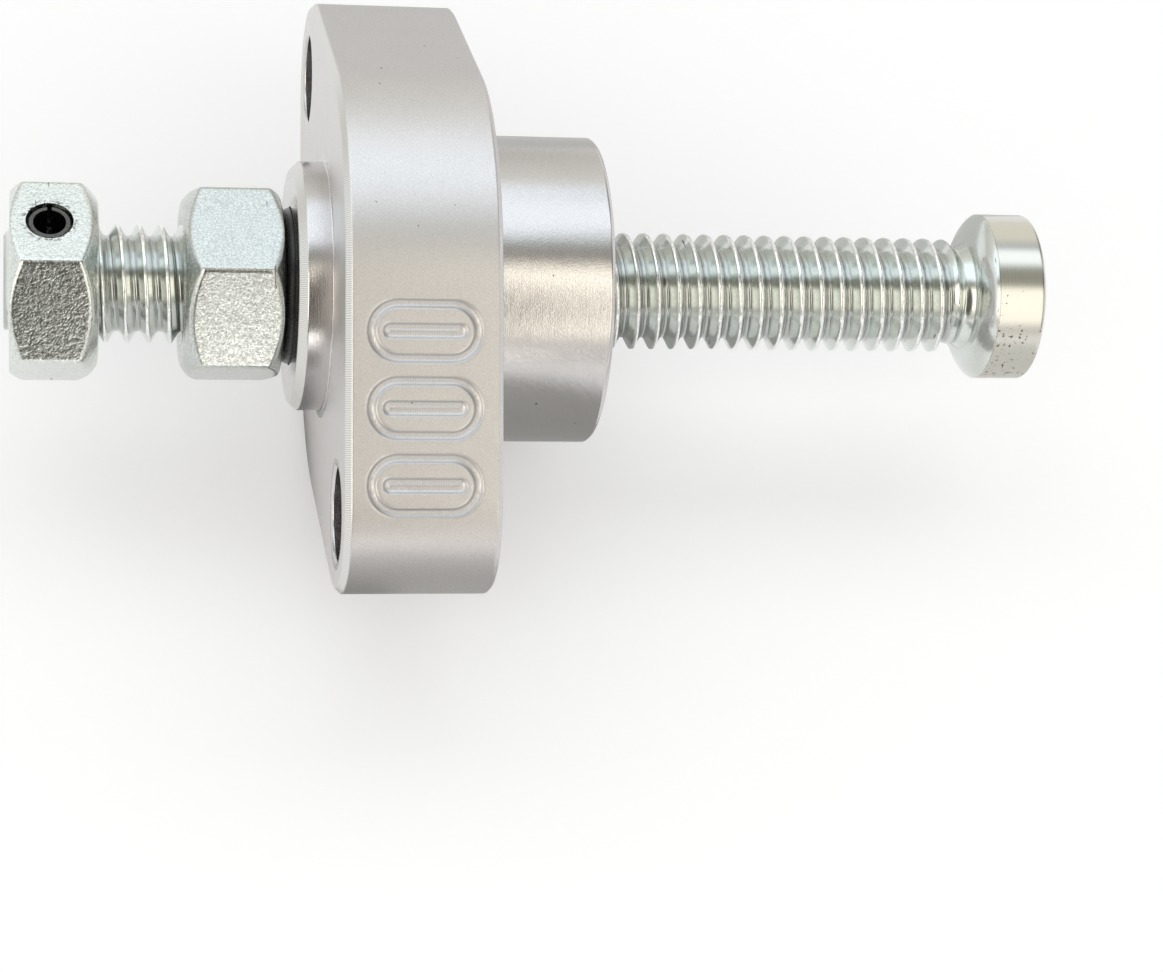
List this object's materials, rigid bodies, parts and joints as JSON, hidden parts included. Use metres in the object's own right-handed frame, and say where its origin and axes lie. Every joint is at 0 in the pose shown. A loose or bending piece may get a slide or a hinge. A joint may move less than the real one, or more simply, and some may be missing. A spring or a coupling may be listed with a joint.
{
  "type": "cam chain tensioner",
  "caption": "Manual cam chain tensioner: a flanged aluminium body with a threaded adjuster that carries a push pad, a pinned drive nut, a lock nut and a seal ring.",
  "frame": {"origin": "centre of the mounting face, on the adjuster's axis and midway between the two bolt holes", "axes": "+X along the adjuster from the drive nut to the push pad, into the engine; Y along the line of the two bolt holes; +Z out of the side with the milled loops"},
  "size_m": [0.0694, 0.0454, 0.03],
  "materials": {
    "aluminium": "satin blasted and clear anodised",
    "zinc_bolt": "bright zinc plated, with a bare turned pad rim",
    "zinc_nut": "bright zinc plated, finely frosted",
    "spring_steel": "dark oiled",
    "black_rubber": "smooth and glossy"
  },
  "bodies": {
    "housing": {"body": "aluminium"},
    "seal": {"o_ring": "black_rubber"},
    "adjuster": {"adjuster_bolt": "zinc_bolt", "drive_nut": "zinc_nut", "spring_pin": "spring_steel"},
    "lock": {"lock_nut": "zinc_nut"}
  },
  "joints": [
    {"name": "adjuster_turn", "type": "hinge", "parent": "housing", "child": "seal", "pos_m": [0, 0, 0], "axis": [1, 0, 0], "range_deg": [-6480, 900]},
    {"name": "adjuster_travel", "type": "slide", "parent": "seal", "child": "adjuster", "axis": [1, 0, 0], "range_m": [-0.0255, 0.0036]},
    {"name": "lock_nut_travel", "type": "slide", "parent": "housing", "child": "lock", "axis": [1, 0, 0], "range_m": [-0.00141, 0]}
  ],
  "couplings": [
    {"joint": "adjuster_travel", "follows": "adjuster_turn", "m_per_rad": 0.00022457}
  ]
}
